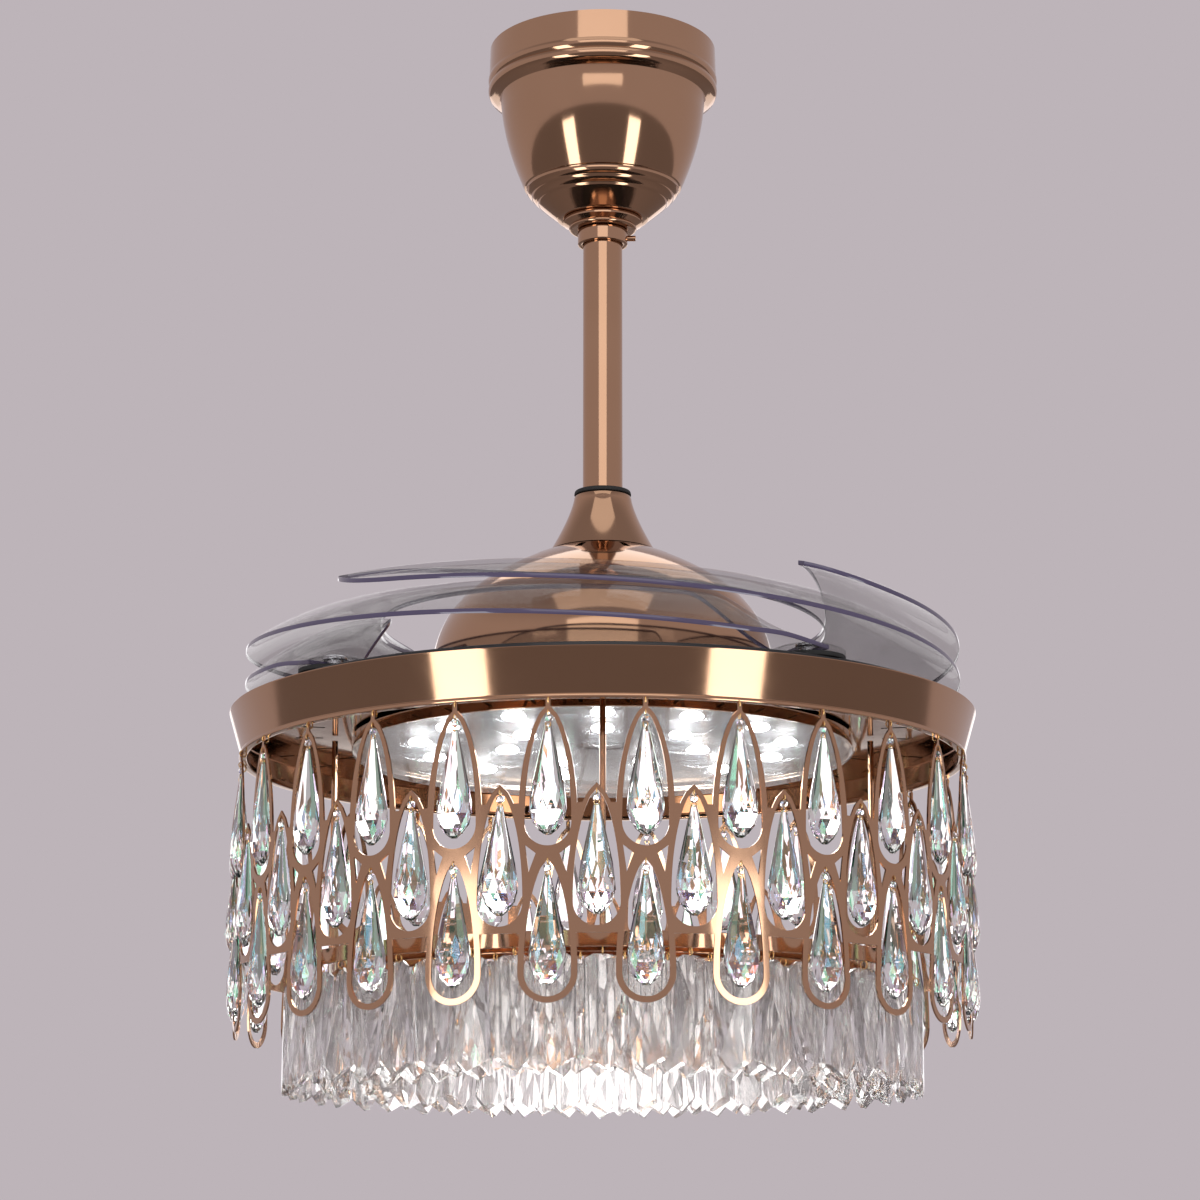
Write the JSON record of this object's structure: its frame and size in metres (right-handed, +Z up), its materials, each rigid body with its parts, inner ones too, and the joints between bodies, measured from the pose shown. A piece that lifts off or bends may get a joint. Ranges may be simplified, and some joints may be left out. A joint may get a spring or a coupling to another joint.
{
  "type": "retractable blade ceiling fan",
  "caption": "Rose gold ceiling fan with folding clear blades over a round crystal lamp, hung on a rod from a bell canopy.",
  "frame": {"origin": "middle of the hanger bracket's face that lies on the ceiling", "axes": "+Z up into the ceiling along the rod, -Y towards the viewer of the picture, +X to the viewer's right"},
  "size_m": [0.5, 0.5, 0.7346],
  "materials": {
    "rose_gold": "polished rose gold plate",
    "mirror_gold": "mirror rose gold",
    "zinc_steel": "zinc plated",
    "steel": "machined",
    "motor_iron": "dark lacquer",
    "winding": "copper windings on laminated iron",
    "black_paint": "satin black",
    "black_rubber": "matte",
    "nylon": "moulded",
    "box_plastic": "moulded",
    "smoky_blade": "clear smoky plastic",
    "clear_plastic": "clear",
    "board_white": "white solder mask on aluminium",
    "crystal": "cut and polished"
  },
  "bodies": {
    "mount": {"ceiling_bracket": "zinc_steel", "receiver_box": "box_plastic", "led_driver": "box_plastic"},
    "hanger": {"hanger_ball": "black_rubber", "ball_pin": "steel", "downrod": "rose_gold", "rod_gasket": "black_rubber", "coupling_cover": "rose_gold", "motor_yoke": "motor_iron", "hitch_pin": "steel", "motor_dome": "rose_gold", "motor_shaft": "steel", "stator": "winding", "lamp_pan": "mirror_gold", "lamp_ring": "rose_gold", "shaft_nut": "steel", "lamp_base": "mirror_gold", "led_board": "board_white", "lens_cover": "clear_plastic", "crystal_screen": "rose_gold", "upper_drops": "crystal", "middle_drops": "crystal", "lower_drops": "crystal", "prism_frame": "rose_gold", "prism_tier_1": "crystal", "prism_tier_2": "crystal", "prism_tier_3": "crystal"},
    "canopy": {"canopy": "rose_gold", "canopy_collar": "rose_gold", "collar_screw": "rose_gold"},
    "rotor": {"rotor_cap": "motor_iron", "rotor_base": "motor_iron", "upper_bearing": "steel", "lower_bearing": "steel", "rotor_magnets": "motor_iron", "blade_plate": "black_paint", "gear_cover": "black_paint", "blade_spring_1": "steel", "blade_spring_2": "steel", "blade_spring_3": "steel", "blade_spring_4": "steel"},
    "sync": {"sync_gear": "nylon"},
    "blade_1": {"blade_1": "smoky_blade", "blade_pin_1": "steel", "blade_gear_1": "nylon"},
    "blade_2": {"blade_2": "smoky_blade", "blade_pin_2": "steel", "blade_gear_2": "nylon"},
    "blade_3": {"blade_3": "smoky_blade", "blade_pin_3": "steel", "blade_gear_3": "nylon"},
    "blade_4": {"blade_4": "smoky_blade", "blade_pin_4": "steel", "blade_gear_4": "nylon"}
  },
  "joints": [
    {"name": "ball_sway", "type": "hinge", "parent": "mount", "child": "hanger", "pos_m": [0, 0, -0.03004], "axis": [1, 0, 0], "range_deg": [-1.5, 1.5]},
    {"name": "canopy_slide", "type": "slide", "parent": "hanger", "child": "canopy", "axis": [0, 0, 1], "range_m": [-0.17, 0]},
    {"name": "fan_spin", "type": "hinge", "parent": "hanger", "child": "rotor", "pos_m": [0, 0, -0.48], "axis": [0, 0, 1], "continuous": true},
    {"name": "blade_1_fold", "type": "hinge", "parent": "rotor", "child": "blade_1", "pos_m": [0.17051, 0.12849, -0.475], "axis": [0, 0, 1], "range_deg": [0, 155], "stiffness_Nm_per_rad": 0.05, "springref_deg": -17.19},
    {"name": "blade_2_fold", "type": "hinge", "parent": "rotor", "child": "blade_2", "pos_m": [-0.12849, 0.17051, -0.475], "axis": [0, 0, 1], "range_deg": [0, 155], "stiffness_Nm_per_rad": 0.05, "springref_deg": -17.19},
    {"name": "blade_3_fold", "type": "hinge", "parent": "rotor", "child": "blade_3", "pos_m": [-0.17051, -0.12849, -0.475], "axis": [0, 0, 1], "range_deg": [0, 155], "stiffness_Nm_per_rad": 0.05, "springref_deg": -17.19},
    {"name": "blade_4_fold", "type": "hinge", "parent": "rotor", "child": "blade_4", "pos_m": [0.12849, -0.17051, -0.475], "axis": [0, 0, 1], "range_deg": [0, 155], "stiffness_Nm_per_rad": 0.05, "springref_deg": -17.19},
    {"name": "sync_turn", "type": "hinge", "parent": "rotor", "child": "sync", "pos_m": [0, 0, -0.485], "axis": [0, 0, 1], "range_deg": [-13.84, 0]}
  ],
  "couplings": [
    {"joint": "blade_2_fold", "follows": "blade_1_fold", "ratio": 1},
    {"joint": "blade_3_fold", "follows": "blade_1_fold", "ratio": 1},
    {"joint": "blade_4_fold", "follows": "blade_1_fold", "ratio": 1},
    {"joint": "sync_turn", "follows": "blade_1_fold", "ratio": -0.089286}
  ]
}
